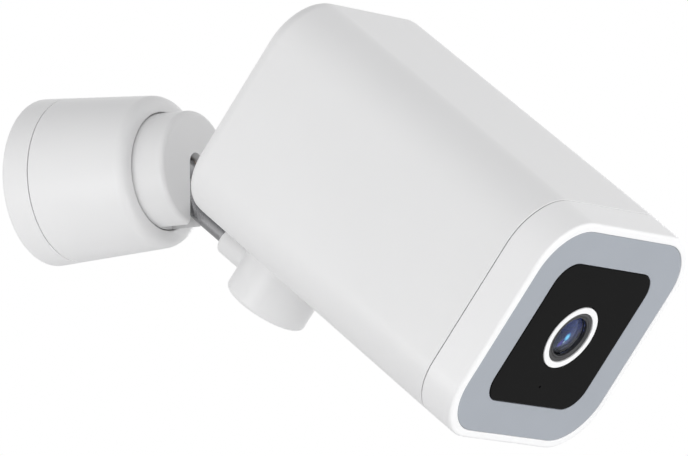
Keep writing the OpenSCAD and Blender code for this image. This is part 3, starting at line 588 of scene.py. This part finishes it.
def slot_outline(steps=24):
    """The slot from the front: straight sides open at the bottom, and a round upper end above the pin."""
    half, overlap = SLOT_W / 2, 1.0
    turns = [math.pi * i / steps for i in range(steps + 1)]
    top = [(half * math.cos(turn), SLOT_TOP + half * math.sin(turn)) for turn in turns]
    return [(-half, -overlap), (half, -overlap)] + top


def neck_drum():
    drum = turned([
        (0, JOURNAL_END, 0), (JOURNAL_R, JOURNAL_END, 0.4), (JOURNAL_R, NECK_BACK, 0),
        (NECK_R, NECK_BACK, 0.3), (NECK_R, NECK_FRONT, 1.5), (0, NECK_FRONT, 0)], closed=False, steps=128)
    on_pin = shifted(0, 0, PIVOT_OUT) @ CROSSWISE
    half, outside = SLOT_W / 2, NECK_R + PAST
    tools = [
        prism(box_outline(-half, half, -outside, 0), SLOT_FLOOR, NECK_FRONT + PAST),
        prism(slot_outline(), PIVOT_OUT, NECK_FRONT + PAST),
        moved(peg(KNUCKLE_R + KNUCKLE_GAP, -half, half), on_pin),
        moved(peg(PIN_R + PIN_FIT, PIN_HOLE_END, outside), on_pin),
        moved(peg(PLUG_R + FIT, PLUG_START - LOOSE, outside), on_pin),
        peg(LEAD_HOLE_R, JOURNAL_END - PAST, SLOT_FLOOR + PAST),
    ]
    piece("neck_drum_moulding", cut(drum, *tools), BASE, "neck", "white_casing", ["neck_drum"])


def tilt_pin_plug():
    dish = PLUG_LEN - PLUG_DISH
    plug = turned([(0, 0, 0), (PLUG_R, 0, 0), (PLUG_R, PLUG_LEN, 0.35), (PLUG_DISH_R + 0.2, PLUG_LEN, 0.1),
                   (PLUG_DISH_R, dish, 0), (0, dish, 0)], closed=False, steps=48)
    place = BASE @ shifted(0, 0, PIVOT_OUT) @ CROSSWISE @ shifted(0, 0, PLUG_START)
    piece("tilt_pin_plug_button", plug, place, "neck", "white_casing", ["tilt_pin_plug"])


# ---- Arm ----

def tube_route(tube_end, steps=12):
    """The tube's centreline as (point, tangent): a leg from the knuckle, a bend and the long straight."""
    angle = math.radians(LEG_ANGLE)
    leg_way = Vector((0, -math.sin(angle), math.cos(angle)))
    bend_end = TUBE_DROP / math.tan(angle) + BEND_R * math.tan(angle / 2)
    route = [(leg_way * (KNUCKLE_R - 1), leg_way)]
    centre = Vector((0, BEND_R - TUBE_DROP, bend_end))
    for i in range(steps + 1):
        lean = angle * (1 - i / steps)
        tangent = Vector((0, -math.sin(lean), math.cos(lean)))
        route.append((centre + Vector((0, -math.cos(lean), -math.sin(lean))) * BEND_R, tangent))
    route.append((Vector((0, -TUBE_DROP, tube_end)), Vector((0, 0, 1))))
    return route


def arm_tube():
    tube = swept(tube_route(HUB_REACH - TUBE_SHORT), TUBE_R, TUBE_BORE_R)
    piece("arm_tube_bent", tube, ARM, "arm", "satin_metal", ["arm_tube"])


def arm_knuckle():
    half, bore_r = KNUCKLE_W / 2, PIN_R + FIT
    disc = turned([(bore_r, -half, 0.1), (KNUCKLE_R, -half, 0.45), (KNUCKLE_R, half, 0.45),
                   (bore_r, half, 0.1)], steps=64)
    moved(disc, CROSSWISE)
    stub = turned([(TUBE_R, STUB_START, 0), (STUB_R, STUB_START, 0), (STUB_R, STUB_END, 0.2),
                   (TUBE_R, STUB_END, 0)], steps=48)
    moved(stub, turned_about("X", LEG_ANGLE))
    piece("arm_knuckle_eye", join(disc, stub), ARM, "arm", "satin_metal", ["arm_knuckle"])


def pan_hub():
    bore_r, floor, cap_seat = STUD_R + FIT, HUB_TOP - HUB_FLOOR, HUB_BOTTOM + 2
    hub = turned([
        (bore_r, HUB_TOP, 0.2), (HUB_R, HUB_TOP, 0.35), (HUB_R, HUB_BOTTOM, 1.2),
        (CAP_SEAT_R, HUB_BOTTOM, 0.15), (CAP_SEAT_R, cap_seat, 0), (HUB_BORE_R, cap_seat, 0),
        (HUB_BORE_R, floor, 0), (bore_r, floor, 0)])
    along_tube = shifted(0, 0, -TUBE_DROP) @ turned_about("X", -90)
    collar_start, collar_end = HUB_R - 1.5, HUB_R + COLLAR_LEN
    collar = turned([(0, collar_start, 0), (COLLAR_R, collar_start, 0), (COLLAR_R, collar_end, 0.6),
                     (0, collar_end, 0)], closed=False, steps=64)
    bore = peg(TUBE_R + TUBE_FIT, collar_start - 5.5, collar_end + PAST)
    grub_hole = peg(GRUB_R, -COLLAR_R - TUBE_DROP - PAST, -TUBE_DROP)
    moved(grub_hole, shifted(0, HUB_R + COLLAR_LEN / 2, 0))
    shape = cut(join(hub, moved(collar, along_tube)), moved(bore, along_tube), grub_hole)
    piece("pan_hub_moulding", shape, PAN, "arm", "white_casing", ["pan_hub"])


def hub_cap():
    """The cap under the hub, with a ring pressed into its face."""
    groove, back = HUB_BOTTOM + 0.35, HUB_BOTTOM + CAP_T
    cap = turned([(0, HUB_BOTTOM, 0), (3.2, HUB_BOTTOM, 0.1), (3.5, groove, 0.1), (4.4, groove, 0.1),
                  (4.7, HUB_BOTTOM, 0.1), (CAP_R, HUB_BOTTOM, 0.3), (CAP_R, back, 0), (0, back, 0)],
                 closed=False)
    piece("hub_cap_disc", cap, PAN, "arm", "white_casing", ["hub_cap"])


# ---- Head ----

def under(x, z):
    """A spot on the underside, with +Z pointing into the head."""
    return shifted(x, -HEAD_H / 2, z) @ turned_about("X", -90)


HATCH = under(0, HATCH_Z)
BUTTON = under(BUTTON_X, HATCH_Z)
REAR_FILL = 9.0  # how far in the loops of the rear wall run before a flat face fills the rest


def drafted_size(across, depth):
    """The casing's outline, which draws in a little from the seam to the rear."""
    front = BEZEL_DEPTH + SEAM
    along = (-depth - front) / (HEAD_LEN - front)
    width = HEAD_W - 2 * (across + SIDE_DRAFT * along)
    height = HEAD_H - 2 * (across + TOP_DRAFT * along)
    return width, height, CORNER_R - across


def speaker_holes():
    for count, ring in SPEAKER_RINGS:
        for i in range(count):
            turn = 2 * math.pi * i / count
            spot = under(ring * math.cos(turn), SPEAKER_Z + ring * math.sin(turn))
            yield moved(peg(SPEAKER_HOLE_R, -PAST, SHELL_WALL + PAST, 20), spot)


def head_shell():
    rear, front = -HEAD_LEN + SHELL_WALL, -BEZEL_DEPTH - SEAM
    shell = moulded([
        (REAR_FILL, rear, 0), (SHELL_WALL, rear, 2.5), (SHELL_WALL, front, 0.2), (0, front, 0.22),
        (0, -HEAD_LEN, REAR_ROUND), (REAR_FILL, -HEAD_LEN, 0)], drafted_size, closed=False)
    pad_t, through = SHELL_WALL - 0.2, SHELL_WALL + PAST
    pad = turned([(0, 0, 0), (HUB_R, 0, 0.3), (HUB_R, pad_t, 0), (0, pad_t, 0)], closed=False)
    pocket = [rounded_rect(COVER_W + 2 * COVER_GAP, COVER_D + 2 * COVER_GAP, COVER_CORNER + COVER_GAP, depth)
              for depth in (-PAST, COVER_T + LOOSE)]
    half_w, half_d = TONGUE_W / 2 + TONGUE_GAP, TONGUE_D / 2 + TONGUE_GAP
    tools = [moved(peg(STUD_R + FIT, -PAST, through), under(0, HUB_Z)),
             moved(peg(BUTTON_R + BUTTON_GAP, -PAST, through), BUTTON),
             moved(skin(pocket), HATCH),
             moved(prism(box_outline(-half_w, half_w, -half_d, half_d), 0, through), HATCH)]
    shape = cut(join(shell, moved(pad, under(0, HUB_Z))), *tools, *speaker_holes())
    piece("head_shell_moulding", shape, HEAD, "head", "white_casing", ["head_shell"])


def card_cover():
    """A soft cover over the memory card, with a finger notch at one end and a tongue that plugs the slot."""
    cover = moulded([(1.2, 0, 0), (0, 0, 0.35), (0, COVER_T, 0), (1.2, COVER_T, 0)],
                    inset_of(COVER_W, COVER_D, COVER_CORNER), closed=False)
    half_w, half_d = TONGUE_W / 2, TONGUE_D / 2
    tongue = prism(box_outline(-half_w, half_w, -half_d, half_d), COVER_T - 0.2, SHELL_WALL - 0.2)
    notch = moved(peg(NOTCH_R, -PAST, NOTCH_DEPTH), shifted(COVER_W / 2 - NOTCH_IN, 0, 0))
    shape = cut(join(cover, tongue), notch)
    piece("card_cover_flap", shape, HEAD @ HATCH, "head", "grey_rubber", ["card_cover"])


def setup_button():
    """A dished button with the flange that keeps it in, and the stem that meets the switch."""
    face, dish = -BUTTON_PROUD, -BUTTON_PROUD + 0.2
    cap = turned([(0, dish, 0), (1.9, dish, 0.3), (2.3, face, 0.15), (BUTTON_R, face, 0.35),
                  (BUTTON_R, BUTTON_SHOULDER, 0), (BUTTON_FLANGE_R, BUTTON_SHOULDER, 0.1),
                  (BUTTON_FLANGE_R, BUTTON_BACK, 0.1), (BUTTON_STEM_R, BUTTON_BACK, 0),
                  (BUTTON_STEM_R, BUTTON_END, 0.1), (0, BUTTON_END, 0)], closed=False, steps=64)
    piece("setup_button_cap", cap, HEAD @ BUTTON, "setup_button", "grey_rubber", ["setup_button"])


def bezel_size(across, depth):
    """The bezel's outline from its outer edge in: the light's corners are rounder than an even inset."""
    if across <= RIM_W:
        corner = CORNER_R - (CORNER_R - LIGHT_CORNER) * across / RIM_W
    else:
        corner = LIGHT_CORNER - (across - RIM_W)
    return HEAD_W - 2 * across, HEAD_H - 2 * across, corner


def front_bezel():
    ledge, ledge_in, skirt_end = -FRONT_T - LOOSE, RIM_W + LEDGE_W, -BEZEL_DEPTH - SKIRT_LEN
    bezel = moulded([
        (0, -BEZEL_DEPTH, 0.22), (0, 0, 0.9), (RIM_W, 0, 0.25), (RIM_W, ledge, 0), (ledge_in, ledge, 0.1),
        (ledge_in, -LEDGE_BACK, 0.1), (SKIRT_IN, -LEDGE_BACK, 0), (SKIRT_IN, skirt_end, 0.1),
        (SKIRT_OUT, skirt_end, 0.2), (SKIRT_OUT, -BEZEL_DEPTH, 0)], bezel_size)
    piece("front_bezel_moulding", bezel, HEAD, "head", "white_rim", ["front_bezel"])


def diffuser():
    outer = (HEAD_W - 2 * RIM_W - LOOSE, HEAD_H - 2 * RIM_W - LOOSE, LIGHT_CORNER)
    inner = (PANEL_W + 2 * PANEL_GAP, PANEL_H + 2 * PANEL_GAP, PANEL_CORNER + PANEL_GAP)
    bar, face = (outer[0] - inner[0]) / 2, -0.1
    cover = moulded([(0, -FRONT_T, 0.1), (0, face, 0.2), (bar, face, 0.2), (bar, -FRONT_T, 0.1)],
                    bar_between(outer, inner))
    piece("diffuser_cover", cover, HEAD, "head", "diffuser_plastic", ["diffuser"])


def front_panel():
    fill = 5.0
    plate = moulded([(fill, -FRONT_T, 0), (0, -FRONT_T, 0.2), (0, 0, 0.3), (fill, 0, 0)],
                    inset_of(PANEL_W, PANEL_H, PANEL_CORNER), closed=False)
    holes = [peg(RING_R + LOOSE, -FRONT_T - PAST, PAST, 96),
             moved(peg(MIC_R, -FRONT_T - PAST, PAST, 24), shifted(0, -MIC_DROP, 0))]
    piece("front_panel_plate", cut(plate, *holes), HEAD, "head", "black_panel", ["front_panel"])


def dome(radius, edge, rise, steps=10):
    """The crown of a lens as turned corners, from its top at the centre to its edge."""
    ball = (radius ** 2 + rise ** 2) / (2 * rise)
    leans = [math.asin(radius / ball) * i / steps for i in range(steps + 1)]
    return [(ball * math.sin(lean), edge + rise - ball * (1 - math.cos(lean)), 0) for lean in leans]


def lens_ring():
    rim_r, face = RING_R - 0.15, 0.2
    ring = turned([(RING_BORE_R, -FRONT_T, 0), (rim_r, -FRONT_T, 0), (rim_r, face, 0.25),
                   (RING_BORE_R, face, 0.2)])
    piece("lens_ring_moulding", ring, HEAD, "head", "white_rim", ["lens_ring"])


def lens_barrel():
    """A stepped barrel, dished at its front edge round the front glass."""
    thread_r, flange_r, throat_r, end = 6.0, 7.6, 4.0, -18.0
    seat_r = GLASS_R + 0.02
    barrel = turned([
        (throat_r, end, 0), (thread_r, end, 0.2), (thread_r, -9, 0), (flange_r, -9, 0.2),
        (flange_r, 0.0, 0.2), (6.75, -0.25, 0.05), (6.55, -0.5, 0.05), (6.3, -0.15, 0.1),
        (seat_r, -0.3, 0.1), (seat_r, -4.2, 0), (4.6, -4.2, 0.1), (throat_r, -6, 0)])
    piece("lens_barrel_turned", barrel, HEAD, "head", "barrel_black", ["lens_barrel"])


def lens_glasses():
    """A thin front dome, a coated second lens close behind it and the rear one."""
    front_r, second_r, rear_r = GLASS_R - FIT, GLASS_R - 0.08, 3.9
    front = turned(dome(front_r, -1.0, 1.2) + dome(front_r, -1.8, 1.0)[::-1], closed=False)
    piece("lens_front_dome", front, HEAD, "head", "lens_glass", ["lens_front_glass"])
    second = turned(dome(second_r, -2.3, 1.1) + [(second_r, -4.1, 0)], closed=False)
    # The second and rear elements wear lens_coating, whose colour holds painted reflections and painted
    # glints.
    piece("lens_second_element", second, HEAD, "head", "lens_coating")
    rear = turned([(rear_r, -9.4, 0)] + dome(rear_r, -7.8, 1.45)[::-1], closed=False)
    piece("lens_rear_element", rear, HEAD, "head", "lens_coating", ["lens_rear_glass"])


mounting_plate()
base_shell()
wall_seals()
neck_drum()
tilt_pin_plug()
arm_tube()
arm_knuckle()
pan_hub()
hub_cap()
head_shell()
card_cover()
setup_button()
front_bezel()
diffuser()
front_panel()
lens_ring()
lens_barrel()
lens_glasses()


# ---- Stage, light and camera ----

def pale_floor():
    half, below, thick = 12.0, -0.75, 0.02  # in metres
    shape = prism(box_outline(-half, half, -half, half), below - thick, below)
    floor = linked("floor", as_mesh("floor", shape))
    floor.data.materials.append(moulded_plastic("pale_floor", (0.9, 0.9, 0.9), 0.9, 0.0, 0.005))


def soft_room():
    """A white room with a dimmer ceiling, so rounded upper edges reflect a softer band."""
    world = bpy.data.worlds.new("soft_room")
    bpy.context.scene.world = world
    world.use_nodes = True
    tree = world.node_tree
    where = tree.nodes.new("ShaderNodeTexCoord")
    split = tree.nodes.new("ShaderNodeSeparateXYZ")
    ramp = tree.nodes.new("ShaderNodeValToRGB")
    tree.links.new(where.outputs["Generated"], split.inputs[0])
    tree.links.new(split.outputs["Z"], ramp.inputs[0])
    tree.links.new(ramp.outputs[0], tree.nodes["Background"].inputs["Color"])
    stops = [(0.45, (1, 1, 1, 1)), (0.95, (0.35, 0.35, 0.36, 1))]
    for stop, (position, colour) in zip(ramp.color_ramp.elements, stops):
        stop.position, stop.color = position, colour


def soft_box(name, at, aim, size, power):
    """A square soft light at a point, aimed at another, in metres."""
    lamp = bpy.data.lights.new(name, "AREA")
    lamp.shape, lamp.size, lamp.energy = "SQUARE", size, power
    made = linked(name, lamp)
    made.location = at
    made.rotation_euler = (Vector(aim) - Vector(at)).to_track_quat("-Z", "Y").to_euler()


def camera():
    right, up = Vector(CAMERA_RIGHT).normalized(), Vector(CAMERA_UP).normalized()
    back = right.cross(up)
    made = linked("camera", bpy.data.cameras.new("camera"))
    made.data.lens, made.data.sensor_width = LENS_LENGTH, SENSOR_WIDTH
    made.data.clip_start, made.data.clip_end = 0.1, 60.0
    turn = Matrix((right, up, back)).transposed().to_4x4()
    made.matrix_world = Matrix.Translation(CAMERA_AT) @ turn
    bpy.context.scene.camera = made


bpy.context.scene.view_settings.view_transform = "Standard"
camera()
pale_floor()
soft_room()
OBJECT_CENTRE, BASE_CENTRE = (0, -0.095, -0.02), (0, -0.02, 0)
soft_box("front_low", (-0.1, -1.2, -0.5), OBJECT_CENTRE, 0.8, 7.0)
soft_box("left", (-0.26, 0.03, -0.1), BASE_CENTRE, 0.14, 0.14)
soft_box("front_left", (-1.0, -0.9, 0.0), OBJECT_CENTRE, 0.5, 0.3)
soft_box("right", (1.4, 0.1, 0.15), OBJECT_CENTRE, 0.6, 3.4)
